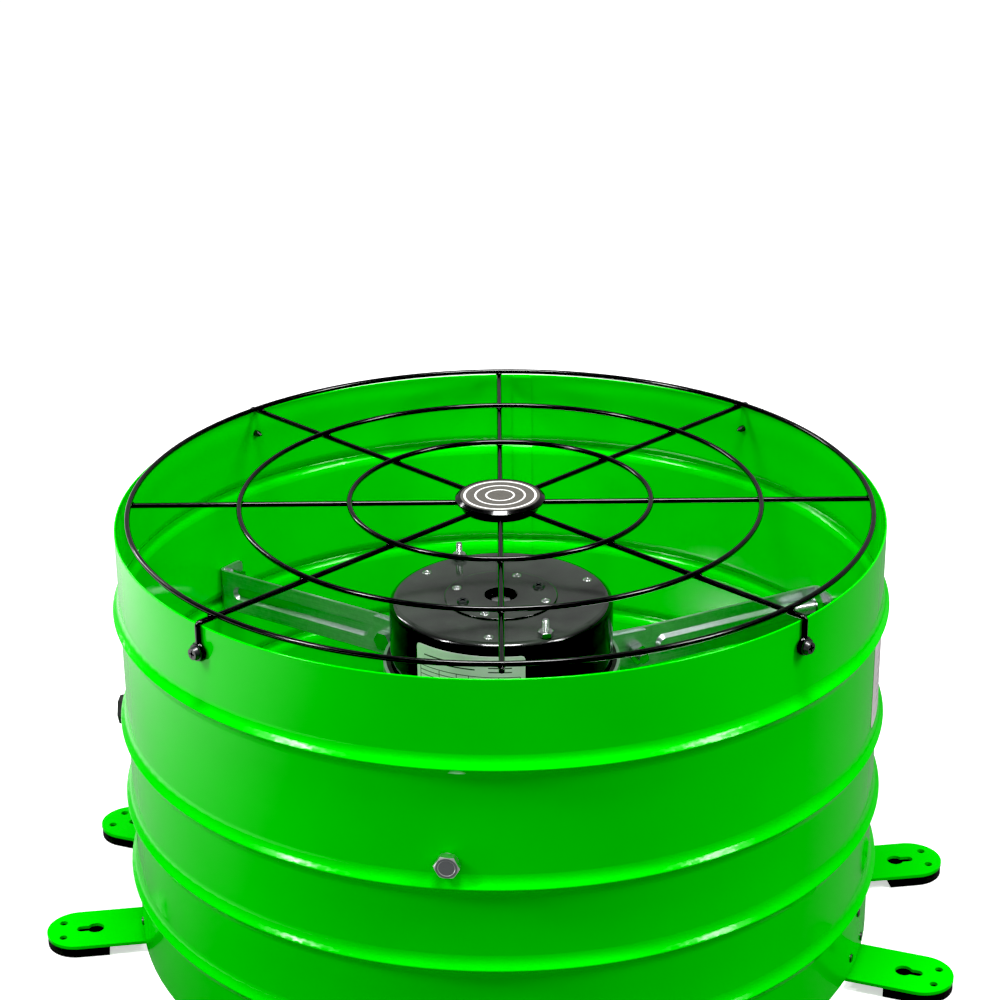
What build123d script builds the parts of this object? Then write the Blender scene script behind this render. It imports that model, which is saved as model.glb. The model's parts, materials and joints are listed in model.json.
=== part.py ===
from build123d import *
from math import sin, cos, radians, sqrt, asin, degrees
import os

os.makedirs("parts", exist_ok=True)

# ---------------------------------------------------------------- dimensions
# round housing: a rolled sheet tube, axis on Z, standing on four rubber pads
TUBE_R = 228.6            # outer radius (18 in tube)
TUBE_T = 1.2              # sheet thickness
TUBE_H = 269.0            # height of the tube
PAD_T = 6.0               # rubber pads under the feet, z = 0 is their underside
TAB_T = 2.0               # foot bracket sheet
TUBE_Z0 = PAD_T + TAB_T + 1.0
RIM = TUBE_Z0 + TUBE_H    # top edge of the tube
BEADS = [51.0, 123.0, 173.6, 223.2]   # rolled beads, distance below the rim
BEAD_RISE = 4.0
BEAD_HALF = 7.2
LAP_AZ = 94.0             # lap seam of the rolled sheet
LAP_W = 3.2               # degrees

# wire guard on the rim
WIRE = 3.2                # wire diameter
GUARD_TURN = 6.4          # guard spokes are turned this much from the feet axis
RING_RADII = [220.5, 155.1, 89.8]
SPOKE_Z = RIM + WIRE / 2 + 0.05
RING_Z = SPOKE_Z + WIRE
LEG_R = TUBE_R + WIRE / 2 + 0.05      # radius of the wire legs outside the wall
EYE_DROP = 15.0           # guard screws below the rim
EYE_R = 4.0
GUARD_SCREW_R = 2.0

# motor hung in the upper half of the tube
CAN_R = 68.0
CAN_T = 2.0
CAP_Z = RIM - 60.0        # flat face of the top bell
CAN_TOP = RIM - 66.0
CAN_BOT = RIM - 150.0
BELL_Z = RIM - 156.0      # flat face of the bottom bell
PLATE_R = 34.4            # raised centre plate of the bells
EYE_HOLE_R = 9.7
BEAR_R = 16.0
BEAR_W = 10.0
SHAFT_R = 6.35            # 1/2 in shaft
RUN_FIT = 0.05            # radial clearance of the shaft in its bearings
STUD_R = 61.5             # pitch radius of the two through studs
STUD_AZ = [121.4, 301.4]
STUD_D = 4.2
RIVET_AZ = [29.0, 149.0, 269.0]

# belly band and the three arms
ARM_AZ = [29.0, 149.0, 269.0]
ARM_T = 2.0
ARM_H = 27.4
BOLT_Z = RIM - 109.2      # height of the wall bolts
ARM_Z = RIM - 113.2       # middle of the arms
BAND_R0 = 70.8
BAND_R1 = 72.6
BAND_TOP = RIM - 100.6
BAND_H = 22.0
EAR_T = 1.8
EAR_GAP = ARM_T / 2 + 0.05
EAR_END = 100.0
EAR_SHORT = 97.0
BAND_BOLT_X = 90.5
BAND_BOLT_Z = RIM - 114.6
BOLT_D = 7.9              # 5/16 in wall bolts
BOLT_AF = 12.7
BBOLT_D = 6.3             # 1/4 in band bolts
BBOLT_AF = 11.1

# feet
FOOT_HALF = 14.35         # feet stand this many degrees either side of the X axis
FOOT_W = 40.0
FOOT_TIP = 288.5
FOOT_END = FOOT_TIP - FOOT_W / 2
KEY_BIG_X, KEY_BIG_R = 258.3, 5.2
KEY_END_X, KEY_SLOT_R = 267.0, 2.9
SCREW_X, SCREW_Y, SCREW_HR = 278.2, 8.2, 2.4
PAD_X0 = 250.0
FLANGE_TOP = 52.0

# propeller on the lower end of the shaft
PROP_Z = RIM - 203.0
BLADES = 4
PITCH = 24.0
HUB_R = 17.0
HUB_H = 26.0
SPIDER_T = 3.0
ARM_END = 96.0
BLADE_T = 1.6
CAMBER_R = 165.0


def radial_plane(az, r, z):
    """Plane on the radius az with its normal pointing outward."""
    a = radians(az)
    return Plane(origin=(r * cos(a), r * sin(a), z), x_dir=(-sin(a), cos(a), 0), z_dir=(cos(a), sin(a), 0))


def write(piece, name):
    piece.part.label = name
    export_step(piece.part, "parts/" + name + ".step")


def wall_line(x0, z0, z1):
    """Edges of one side of the beaded wall, from z0 up to z1."""
    z = z0
    for drop in sorted(BEADS, reverse=True):
        zb = RIM - drop
        Line((x0, z), (x0, zb - BEAD_HALF))
        Spline((x0, zb - BEAD_HALF), (x0 + BEAD_RISE, zb), (x0, zb + BEAD_HALF), tangents=[(0, 1), (0, 1)])
        z = zb + BEAD_HALF
    Line((x0, z), (x0, z1))


# ------------------------------------------------------------------- housing
with BuildPart() as housing_tube:
    with BuildSketch(Plane.XZ):
        with BuildLine():
            wall_line(TUBE_R, TUBE_Z0, RIM - TUBE_T / 2)
            ThreePointArc((TUBE_R, RIM - TUBE_T / 2), (TUBE_R - TUBE_T / 2, RIM), (TUBE_R - TUBE_T, RIM - TUBE_T / 2))
            wall_line(TUBE_R - TUBE_T, TUBE_Z0, RIM - TUBE_T / 2)
            Line((TUBE_R - TUBE_T, TUBE_Z0), (TUBE_R, TUBE_Z0))
        make_face()
    revolve(axis=Axis.Z)
    # guard screw holes
    for k in range(4):
        with BuildSketch(radial_plane(GUARD_TURN + 45 + 90 * k, TUBE_R - 10, RIM - EYE_DROP)):
            Circle(GUARD_SCREW_R + 0.1)
        extrude(amount=20, mode=Mode.SUBTRACT)
    # holes of the three wall bolts
    for az in ARM_AZ:
        with BuildSketch(radial_plane(az, TUBE_R - 10, BOLT_Z)):
            Circle(BOLT_D / 2 + 0.2)
        extrude(amount=20, mode=Mode.SUBTRACT)
    # rivet holes above each foot
    for az in (FOOT_HALF, -FOOT_HALF, 180 - FOOT_HALF, 180 + FOOT_HALF):
        for da, z in ((-3.2, TUBE_Z0 + 9.0), (3.2, TUBE_Z0 + 9.0), (0, TUBE_Z0 + 33.5)):
            with BuildSketch(radial_plane(az + da, TUBE_R - 10, z)):
                Circle(2.15)
            extrude(amount=20, mode=Mode.SUBTRACT)
    # cord outlet
    with BuildSketch(radial_plane(184.0, TUBE_R - 10, RIM - 140.0)):
        Circle(8.1)
    extrude(amount=20, mode=Mode.SUBTRACT)
write(housing_tube, "housing_tube")

# lap strip inside the rolled sheet, spot welded along the seam
with BuildPart() as lap_strip:
    with BuildSketch(Plane.XZ):
        with BuildLine():
            wall_line(TUBE_R - TUBE_T - 0.03, TUBE_Z0 + 0.5, RIM - 1.5)
            Line((TUBE_R - TUBE_T - 0.03, RIM - 1.5), (TUBE_R - TUBE_T - 0.83, RIM - 1.5))
            wall_line(TUBE_R - TUBE_T - 0.83, TUBE_Z0 + 0.5, RIM - 1.5)
            Line((TUBE_R - TUBE_T - 0.83, TUBE_Z0 + 0.5), (TUBE_R - TUBE_T - 0.03, TUBE_Z0 + 0.5))
        make_face()
    revolve(axis=Axis.Z, revolution_arc=LAP_W)
with BuildPart() as housing_lap:
    add(lap_strip.part.rotate(Axis.Z, LAP_AZ - LAP_W))
write(housing_lap, "housing_lap_strip")

# --------------------------------------------------------------------- guard
for radius, name in zip(RING_RADII, ("outer", "middle", "inner")):
    with BuildPart() as guard_ring:
        with Locations((0, 0, RING_Z)):
            Torus(radius, WIRE / 2)
    write(guard_ring, "guard_ring_" + name)

# straight spoke: ends just past the outer ring
with BuildPart() as spoke_plain:
    with BuildSketch(Plane.YZ.offset(8.0)):
        with Locations((0, SPOKE_Z)):
            Circle(WIRE / 2)
    extrude(amount=RING_RADII[0] + 2.2 - 8.0)
    fillet(spoke_plain.edges().filter_by(GeomType.CIRCLE).group_by(Axis.X)[-1], 0.6)

# hooked spoke: over the rim, down the wall and round its screw
with BuildPart() as spoke_hook:
    with BuildLine() as hook_path:
        FilletPolyline((8.0, 0, SPOKE_Z), (LEG_R, 0, SPOKE_Z), (LEG_R, 0, RIM - EYE_DROP + EYE_R), radius=2.15)
    with BuildSketch(Plane.YZ.offset(8.0)):
        with Locations((0, SPOKE_Z)):
            Circle(WIRE / 2)
    sweep(path=hook_path.wires()[0])
    with Locations(Location((LEG_R, 0, RIM - EYE_DROP), (0, 90, 0))):
        Torus(EYE_R, WIRE / 2)

for k in range(8):
    with BuildPart() as guard_spoke:
        add((spoke_plain if k % 2 == 0 else spoke_hook).part.rotate(Axis.Z, GUARD_TURN + 45 * k))
    write(guard_spoke, "guard_spoke_%d" % k)

# disc stack in the middle of the guard
with BuildPart() as guard_hub_plate:
    with BuildSketch(Plane.XY.offset(SPOKE_Z - WIRE / 2 - 2.0)):
        Circle(23.0)
    extrude(amount=2.0)
    with BuildSketch(Plane.XY.offset(SPOKE_Z - WIRE / 2)):
        Circle(5.0)
    extrude(amount=WIRE)
    fillet(guard_hub_plate.edges().filter_by(GeomType.CIRCLE).group_by(Axis.Z)[0], 0.8)
write(guard_hub_plate, "guard_hub_plate")

BEZEL_Z = SPOKE_Z + WIRE / 2
with BuildPart() as guard_hub_bezel:
    with BuildSketch(Plane.XZ):
        with BuildLine():
            Polyline((0, BEZEL_Z), (26.4, BEZEL_Z), (26.9, BEZEL_Z + 0.5), (26.9, BEZEL_Z + 1.5), (24.9, BEZEL_Z + 3.2),
                     (24.0, BEZEL_Z + 3.2), (24.0, BEZEL_Z + 2.2), (0, BEZEL_Z + 2.2), (0, BEZEL_Z))
        make_face()
    revolve(axis=Axis.Z)
write(guard_hub_bezel, "guard_hub_bezel")

with BuildPart() as guard_badge:
    with BuildSketch(Plane.XY.offset(BEZEL_Z + 2.2)):
        Circle(23.8)
    extrude(amount=0.8)
write(guard_badge, "guard_badge")

with BuildPart() as guard_screws:
    for k in range(4):
        az = GUARD_TURN + 45 + 90 * k
        head_r = LEG_R + WIRE / 2 + 0.05
        with BuildSketch(radial_plane(az, 224.5, RIM - EYE_DROP)):
            Circle(GUARD_SCREW_R)
        extrude(amount=head_r - 224.5)
        with BuildSketch(radial_plane(az, 224.5, RIM - EYE_DROP)):
            Circle(GUARD_SCREW_R)
        extrude(amount=-3.2, taper=28)
        with BuildSketch(radial_plane(az, head_r, RIM - EYE_DROP)):
            Circle(4.7)
        extrude(amount=0.9)
        with BuildSketch(radial_plane(az, head_r + 0.9, RIM - EYE_DROP)):
            Circle(4.0)
        extrude(amount=2.4, taper=16)
        with BuildSketch(radial_plane(az, head_r + 1.7, RIM - EYE_DROP)):
            Rectangle(4.0, 0.9)
            Rectangle(0.9, 4.0)
        extrude(amount=3.0, mode=Mode.SUBTRACT)
write(guard_screws, "guard_screws")

# --------------------------------------------------------------------- motor
with BuildPart() as motor_shell:
    with BuildSketch(Plane.XY.offset(CAN_BOT)):
        Circle(CAN_R)
        Circle(CAN_R - CAN_T, mode=Mode.SUBTRACT)
    extrude(amount=CAN_TOP - CAN_BOT)
write(motor_shell, "motor_shell")


def bell_profile(face, up):
    """Half section of a drawn end bell, up = 1 for the top one and -1 below."""
    s = up
    Line((EYE_HOLE_R, face), (CAN_R - 4.5, face))
    ThreePointArc((CAN_R - 4.5, face), (CAN_R - 4.5 * (1 - cos(radians(45))), face - s * 4.5 * (1 - sin(radians(45)))),
                  (CAN_R, face - s * 4.5))
    Polyline((CAN_R, face - s * 4.5), (CAN_R, face - s * 5.95), (CAN_R - CAN_T - 0.05, face - s * 5.95),
             (CAN_R - CAN_T - 0.05, face - s * 13.0), (CAN_R - CAN_T - 1.9, face - s * 13.0),
             (CAN_R - CAN_T - 1.9, face - s * 5.0), (CAN_R - CAN_T - 5.0, face - s * 2.0),
             (21.0, face - s * 2.0), (21.0, face - s * 16.0), (BEAR_R + 0.03, face - s * 16.0),
             (BEAR_R + 0.03, face - s * 4.0), (EYE_HOLE_R, face - s * 4.0), (EYE_HOLE_R, face))


with BuildPart() as motor_top_bell:
    with BuildSketch(Plane.XZ):
        with BuildLine():
            bell_profile(CAP_Z, 1)
        make_face()
    revolve(axis=Axis.Z)
    with BuildSketch(Plane.XY.offset(CAP_Z - 15)):
        for az in STUD_AZ:
            with Locations((STUD_R * cos(radians(az)), STUD_R * sin(radians(az)))):
                Circle(STUD_D / 2 + 0.2)
        for az in RIVET_AZ:
            with Locations((57.5 * cos(radians(az)), 57.5 * sin(radians(az)))):
                Circle(1.65)
    extrude(amount=20, mode=Mode.SUBTRACT)
write(motor_top_bell, "motor_top_bell")

with BuildPart() as motor_bottom_bell:
    with BuildSketch(Plane.XZ):
        with BuildLine():
            bell_profile(BELL_Z, -1)
        make_face()
    revolve(axis=Axis.Z)
    with BuildSketch(Plane.XY.offset(BELL_Z - 2)):
        for az in STUD_AZ:
            with Locations((STUD_R * cos(radians(az)), STUD_R * sin(radians(az)))):
                Circle(STUD_D / 2 + 0.2)
    extrude(amount=20, mode=Mode.SUBTRACT)
write(motor_bottom_bell, "motor_bottom_bell")

# raised plate that closes the bearing seat of the top bell
PLATE_T = 1.0
with BuildPart() as motor_centre_plate:
    with BuildSketch(Plane.XY.offset(CAP_Z)):
        Circle(PLATE_R)
        Circle(EYE_HOLE_R + 0.4, mode=Mode.SUBTRACT)
    extrude(amount=PLATE_T)
    fillet(motor_centre_plate.edges().filter_by(GeomType.CIRCLE).group_by(Axis.Z)[-1].sort_by(SortBy.LENGTH)[-1], 0.6)
write(motor_centre_plate, "motor_centre_plate")

with BuildPart() as motor_plate_rivets:
    for k in range(4):
        a = radians(-13.6 + 90 * k)
        with BuildSketch(Plane.XY.offset(CAP_Z + PLATE_T)):
            with Locations((28.7 * cos(a), 28.7 * sin(a))):
                Circle(2.8)
        extrude(amount=0.6, taper=35)
write(motor_plate_rivets, "motor_plate_rivets")

with BuildPart() as motor_plate_screws:
    for az in (30.4, 210.4):
        a = radians(az)
        with BuildSketch(Plane.XY.offset(CAP_Z + PLATE_T)):
            with Locations((25.2 * cos(a), 25.2 * sin(a))):
                Circle(3.8)
        extrude(amount=1.5, taper=24)
        with BuildSketch(Plane.XY.offset(CAP_Z + PLATE_T + 0.6)):
            with Locations(Location((25.2 * cos(a), 25.2 * sin(a)), az + 20)):
                Rectangle(4.4, 0.9)
                Rectangle(0.9, 4.4)
        extrude(amount=2, mode=Mode.SUBTRACT)
write(motor_plate_screws, "motor_plate_screws")

with BuildPart() as motor_bell_rivets:
    for az in RIVET_AZ:
        a = radians(az)
        with BuildSketch(Plane.XY.offset(CAP_Z - 3.4)):
            with Locations((57.5 * cos(a), 57.5 * sin(a))):
                Circle(1.6)
        extrude(amount=3.4)
        with BuildSketch(Plane.XY.offset(CAP_Z)):
            with Locations((57.5 * cos(a), 57.5 * sin(a))):
                Circle(2.9)
        extrude(amount=0.7, taper=35)
write(motor_bell_rivets, "motor_bell_rivets")

with BuildPart() as motor_through_studs:
    for az in STUD_AZ:
        a = radians(az)
        with BuildSketch(Plane.XY.offset(BELL_Z - 7.0)):
            with Locations((STUD_R * cos(a), STUD_R * sin(a))):
                Circle(STUD_D / 2)
        extrude(amount=CAP_Z + 10.8 - BELL_Z + 7.0)
    chamfer(motor_through_studs.edges().filter_by(GeomType.CIRCLE).group_by(Axis.Z)[-1], 0.6)
write(motor_through_studs, "motor_through_studs")

with BuildPart() as motor_stud_nuts:
    for az in STUD_AZ:
        a = radians(az)
        for z0 in (CAP_Z, BELL_Z - 3.6):
            with BuildSketch(Plane.XY.offset(z0)):
                with Locations(Location((STUD_R * cos(a), STUD_R * sin(a)), az + 12)):
                    RegularPolygon(8.4 / 2, 6, major_radius=False)
                with Locations((STUD_R * cos(a), STUD_R * sin(a))):
                    Circle(STUD_D / 2 + 0.05, mode=Mode.SUBTRACT)
            extrude(amount=3.6)
write(motor_stud_nuts, "motor_stud_nuts")

# rating plate of the motor, left blank
LABEL_AZ0, LABEL_AZ1 = 229.4, 288.0
with BuildPart() as motor_label:
    with BuildSketch(Plane.XY.offset(RIM - 98.0)):
        Circle(CAN_R + 0.3)
        Circle(CAN_R + 0.02, mode=Mode.SUBTRACT)
    extrude(amount=31.0)
    with BuildSketch(radial_plane((LABEL_AZ0 + LABEL_AZ1) / 2, 20.0, RIM - 82.4)):
        RectangleRounded(2 * (CAN_R + 0.3) * sin(radians((LABEL_AZ1 - LABEL_AZ0) / 2)), 30.0, 2.5)
    extrude(amount=60, mode=Mode.INTERSECT)
write(motor_label, "motor_label")

STATOR_Z0, STATOR_Z1 = RIM - 131.0, RIM - 85.0
with BuildPart() as stator_core:
    with BuildSketch(Plane.XY.offset(STATOR_Z0)):
        Circle(CAN_R - CAN_T - 0.03)
        Circle(31.0, mode=Mode.SUBTRACT)
        with PolarLocations(34.5, 24):
            Rectangle(7.4, 2.4, mode=Mode.SUBTRACT)
        with PolarLocations(44.5, 24):
            Rectangle(14.0, 5.4, mode=Mode.SUBTRACT)
        for az in STUD_AZ:
            with Locations((STUD_R * cos(radians(az)), STUD_R * sin(radians(az)))):
                Circle(STUD_D / 2 + 0.3, mode=Mode.SUBTRACT)
    extrude(amount=STATOR_Z1 - STATOR_Z0)
write(stator_core, "stator_core")

with BuildPart() as stator_windings:
    for z0, h in ((STATOR_Z1 + 0.05, 11.0), (STATOR_Z0 - 11.05, 11.0)):
        with BuildSketch(Plane.XY.offset(z0)):
            Circle(55.0)
            Circle(36.0, mode=Mode.SUBTRACT)
        extrude(amount=h)
    fillet(stator_windings.edges().filter_by(GeomType.CIRCLE), 3.5)
write(stator_windings, "stator_windings")

with BuildPart() as motor_bearings:
    for z0 in (CAP_Z - 4.0 - BEAR_W - 0.05, BELL_Z + 4.05):
        with BuildSketch(Plane.XY.offset(z0)):
            Circle(BEAR_R)
            Circle(SHAFT_R + RUN_FIT, mode=Mode.SUBTRACT)
        extrude(amount=BEAR_W)
        # shield recess on both faces
        for zf, d in ((z0 + BEAR_W - 0.8, 2.0), (z0 - 1.2, 2.0)):
            with BuildSketch(Plane.XY.offset(zf)):
                Circle(13.4)
                Circle(8.6, mode=Mode.SUBTRACT)
            extrude(amount=d, mode=Mode.SUBTRACT)
write(motor_bearings, "motor_bearings")

# ----------------------------------------------------- belly band and arms
with BuildPart() as band_liner:
    with BuildSketch(Plane.XY.offset(BAND_TOP - BAND_H)):
        Circle(BAND_R0 - 0.03)
        Circle(CAN_R + 0.03, mode=Mode.SUBTRACT)
    extrude(amount=BAND_H)
write(band_liner, "band_liner")


def turn(x, y, az):
    a = radians(az)
    return (x * cos(a) - y * sin(a), x * sin(a) + y * cos(a))


# one third of the band, from the arm on 0 degrees to the arm on 120 degrees
corner = (EAR_GAP * (1 + cos(radians(120))) / sin(radians(120)), EAR_GAP)
with BuildPart() as band_third:
    with BuildSketch(Plane.XY.offset(BAND_TOP - BAND_H)):
        Circle(BAND_R1)
        Circle(BAND_R0, mode=Mode.SUBTRACT)
        with BuildLine():
            u = (cos(radians(120)), sin(radians(120)))
            Polyline(corner, (corner[0] + 120, corner[1]), (120, 240), (corner[0] + 120 * u[0], corner[1] + 120 * u[1]), corner)
        make_face(mode=Mode.INTERSECT)
    extrude(amount=BAND_H)
    with BuildSketch(Plane.XY.offset(BAND_TOP - BAND_H)):
        with Locations(((71.4 + EAR_END) / 2, EAR_GAP + EAR_T / 2)):
            Rectangle(EAR_END - 71.4, EAR_T)
        with Locations(Location(turn((71.4 + EAR_SHORT) / 2, -EAR_GAP - EAR_T / 2, 120), 120)):
            Rectangle(EAR_SHORT - 71.4, EAR_T)
    extrude(amount=BAND_H)
    for az in (0, 120):
        a = radians(az)
        ox, oy = turn(BAND_BOLT_X, -6 if az == 0 else 6, az)
        n = (-sin(a), cos(a), 0) if az == 0 else (sin(a), -cos(a), 0)
        with BuildSketch(Plane(origin=(ox, oy, BAND_BOLT_Z), z_dir=n)):
            Circle(BBOLT_D / 2 + 0.15)
        extrude(amount=12, mode=Mode.SUBTRACT)
for az, name in zip(ARM_AZ, ("back", "left", "right")):
    with BuildPart() as band_segment:
        add(band_third.part.rotate(Axis.Z, az))
    write(band_segment, "band_segment_" + name)

# pressed arm: flat tongue between the ears, ribbed web, end flange on the wall
FLANGE_X = 226.05
WEB_X = 102.0
WEB_Y = 9.6
with BuildPart() as arm_blank:
    with BuildSketch(Plane.XY.offset(ARM_Z - ARM_H / 2)):
        with BuildLine():
            FilletPolyline((73.2, 0), (WEB_X, 0), (FLANGE_X, WEB_Y), (FLANGE_X, -10.4), radius=2.6)
        trace(line_width=ARM_T)
    extrude(amount=ARM_H)
    web = Vector(FLANGE_X - WEB_X, WEB_Y, 0).normalized()
    side = Vector(web.Y, -web.X, 0)
    mid = Vector(160.7, WEB_Y * (160.7 - WEB_X) / (FLANGE_X - WEB_X), ARM_Z)
    with BuildSketch(Plane(origin=mid + side * (ARM_T / 2 - 0.2), x_dir=web, z_dir=side)):
        SlotOverall(113.0, 12.4)
    extrude(amount=3.0, taper=35)
    with BuildSketch(Plane(origin=mid - side * (ARM_T / 2 + 0.2), x_dir=web, z_dir=side)):
        SlotOverall(110.0, 9.8)
    extrude(amount=2.9, taper=35, mode=Mode.SUBTRACT)
    with BuildSketch(Plane(origin=(BAND_BOLT_X, -6, BAND_BOLT_Z), z_dir=(0, 1, 0))):
        Circle(BBOLT_D / 2 + 0.15)
    extrude(amount=12, mode=Mode.SUBTRACT)
    with BuildSketch(Plane(origin=(FLANGE_X - 6, 0, BOLT_Z), z_dir=(1, 0, 0))):
        Circle(BOLT_D / 2 + 0.2)
    extrude(amount=12, mode=Mode.SUBTRACT)
    fillet(arm_blank.edges().filter_by(Axis.X).filter_by(lambda e: e.length < 3).group_by(Axis.Y)[0], 3.0)
for az, name in zip(ARM_AZ, ("right", "left", "front")):
    with BuildPart() as motor_arm:
        add(arm_blank.part.rotate(Axis.Z, az))
    write(motor_arm, "motor_arm_" + name)

with BuildPart() as band_bolts:
    for az in ARM_AZ:
        a = radians(az)
        n = (sin(a), -cos(a), 0)
        y_out = EAR_GAP + EAR_T + 0.03
        for y0, r, depth in ((y_out, None, 4.2), (y_out, BBOLT_D / 2, -17.0)):
            ox, oy = turn(BAND_BOLT_X, y0, az)
            with BuildSketch(Plane(origin=(ox, oy, BAND_BOLT_Z), z_dir=(-n[0], -n[1], 0))):
                if r is None:
                    RegularPolygon(BBOLT_AF / 2, 6, major_radius=False)
                else:
                    Circle(r)
            extrude(amount=depth)
write(band_bolts, "band_bolts")

with BuildPart() as band_nuts:
    for az in ARM_AZ:
        a = radians(az)
        ox, oy = turn(BAND_BOLT_X, -(EAR_GAP + EAR_T + 0.03), az)
        with BuildSketch(Plane(origin=(ox, oy, BAND_BOLT_Z), z_dir=(sin(a), -cos(a), 0))):
            RegularPolygon(BBOLT_AF / 2, 6, major_radius=False, rotation=15)
            Circle(BBOLT_D / 2 + 0.05, mode=Mode.SUBTRACT)
        extrude(amount=5.4)
write(band_nuts, "band_nuts")

with BuildPart() as wall_bolts:
    for az in ARM_AZ:
        with BuildSketch(radial_plane(az, TUBE_R + 0.9, BOLT_Z)):
            RegularPolygon(BOLT_AF / 2, 6, major_radius=False, rotation=12)
        extrude(amount=5.2)
        # washer face under the head
        with BuildSketch(radial_plane(az, TUBE_R + 0.05, BOLT_Z)):
            Circle(5.2)
        extrude(amount=0.85)
        with BuildSketch(radial_plane(az, TUBE_R + 0.1, BOLT_Z)):
            Circle(BOLT_D / 2)
        extrude(amount=-27.0)
write(wall_bolts, "wall_bolts")

with BuildPart() as wall_nuts:
    for az in ARM_AZ:
        with BuildSketch(radial_plane(az, FLANGE_X - ARM_T / 2 - 0.05, BOLT_Z)):
            RegularPolygon(BOLT_AF / 2, 6, major_radius=False, rotation=22)
            Circle(BOLT_D / 2 + 0.05, mode=Mode.SUBTRACT)
        extrude(amount=-6.7)
write(wall_nuts, "wall_nuts")

# ---------------------------------------------------------------------- feet
with BuildPart() as foot_blank:
    # tab with rounded end, under the edge of the tube
    with BuildSketch(Plane.XY.offset(PAD_T)):
        with Locations(((215.0 + FOOT_END) / 2, 0)):
            Rectangle(FOOT_END - 215.0, FOOT_W)
        with Locations((FOOT_END, 0)):
            Circle(FOOT_W / 2)
        Circle(225.3, mode=Mode.SUBTRACT)
    extrude(amount=TAB_T)
    # flange curved to the inside of the wall
    with BuildSketch(Plane.XY.offset(PAD_T)):
        Circle(TUBE_R - TUBE_T - 0.05)
        Circle(225.3, mode=Mode.SUBTRACT)
        with Locations((220, 0)):
            Rectangle(40, FOOT_W, mode=Mode.INTERSECT)
    extrude(amount=FLANGE_TOP - PAD_T)
    fillet(foot_blank.edges().filter_by(lambda e: e.length < 3).group_by(Axis.Z)[-1], 8.0)
    # keyhole and two screw holes
    with BuildSketch(Plane.XY.offset(0)):
        with Locations((KEY_BIG_X, 0)):
            Circle(KEY_BIG_R)
        with Locations(((KEY_BIG_X + KEY_END_X) / 2, 0)):
            SlotOverall(KEY_END_X - KEY_BIG_X + 2 * KEY_SLOT_R, 2 * KEY_SLOT_R)
        with Locations((SCREW_X, SCREW_Y), (SCREW_X, -SCREW_Y)):
            Circle(SCREW_HR)
    extrude(amount=20, mode=Mode.SUBTRACT)
    for da, z in ((-3.2, TUBE_Z0 + 9.0), (3.2, TUBE_Z0 + 9.0), (0, TUBE_Z0 + 33.5)):
        with BuildSketch(radial_plane(da, TUBE_R - 10, z)):
            Circle(2.15)
        extrude(amount=9, mode=Mode.SUBTRACT)

with BuildPart() as pad_blank:
    with BuildSketch(Plane.XY):
        with Locations(((PAD_X0 + FOOT_END) / 2, 0)):
            Rectangle(FOOT_END - PAD_X0, FOOT_W - 0.6)
        with Locations((FOOT_END, 0)):
            Circle(FOOT_W / 2 - 0.3)
        with Locations((KEY_BIG_X, 0)):
            Circle(KEY_BIG_R + 0.3, mode=Mode.SUBTRACT)
        with Locations(((KEY_BIG_X + KEY_END_X) / 2, 0)):
            SlotOverall(KEY_END_X - KEY_BIG_X + 2 * KEY_SLOT_R + 0.6, 2 * KEY_SLOT_R + 0.6, mode=Mode.SUBTRACT)
        with Locations((SCREW_X, SCREW_Y), (SCREW_X, -SCREW_Y)):
            Circle(SCREW_HR + 0.2, mode=Mode.SUBTRACT)
    extrude(amount=PAD_T)

FEET = (("right_back", FOOT_HALF), ("right_front", -FOOT_HALF), ("left_back", 180 - FOOT_HALF), ("left_front", 180 + FOOT_HALF))
for name, az in FEET:
    with BuildPart() as foot_bracket:
        add(foot_blank.part.rotate(Axis.Z, az))
    write(foot_bracket, "foot_bracket_" + name)

with BuildPart() as foot_pads:
    for name, az in FEET:
        add(pad_blank.part.rotate(Axis.Z, az))
write(foot_pads, "foot_pads")

with BuildPart() as foot_rivets:
    for name, az in FEET:
        for da, z in ((-3.2, TUBE_Z0 + 9.0), (3.2, TUBE_Z0 + 9.0), (0, TUBE_Z0 + 33.5)):
            with BuildSketch(radial_plane(az + da, 223.6, z)):
                Circle(2.05)
            extrude(amount=TUBE_R + 0.05 - 223.6)
            with BuildSketch(radial_plane(az + da, TUBE_R + 0.05, z)):
                Circle(2.7)
            extrude(amount=0.7, taper=20)
            with BuildSketch(radial_plane(az + da, 225.2, z)):
                Circle(3.0)
            extrude(amount=-1.4)
write(foot_rivets, "foot_rivets")

# ------------------------------------------------------- small parts on wall
GLAND_AZ, GLAND_Z = 184.0, RIM - 140.0
with BuildPart() as cable_gland:
    with BuildSketch(radial_plane(GLAND_AZ, 219.0, GLAND_Z)):
        Circle(8.0)
    extrude(amount=TUBE_R + 0.3 - 219.0)
    with BuildSketch(radial_plane(GLAND_AZ, TUBE_R + 0.25, GLAND_Z)):
        Circle(10.5)
    extrude(amount=3.2)
    with BuildSketch(radial_plane(GLAND_AZ, TUBE_R + 3.4, GLAND_Z)):
        RegularPolygon(8.6, 6, major_radius=False)
    extrude(amount=6.4, taper=8)
    with BuildSketch(radial_plane(GLAND_AZ, 210.0, GLAND_Z)):
        Circle(4.0)
    extrude(amount=40, mode=Mode.SUBTRACT)
write(cable_gland, "cable_gland")

with BuildPart() as gland_locknut:
    with BuildSketch(radial_plane(GLAND_AZ, 226.9, GLAND_Z)):
        RegularPolygon(11.0, 6, major_radius=False)
        Circle(8.1, mode=Mode.SUBTRACT)
    extrude(amount=-3.6)
write(gland_locknut, "gland_locknut")

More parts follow.
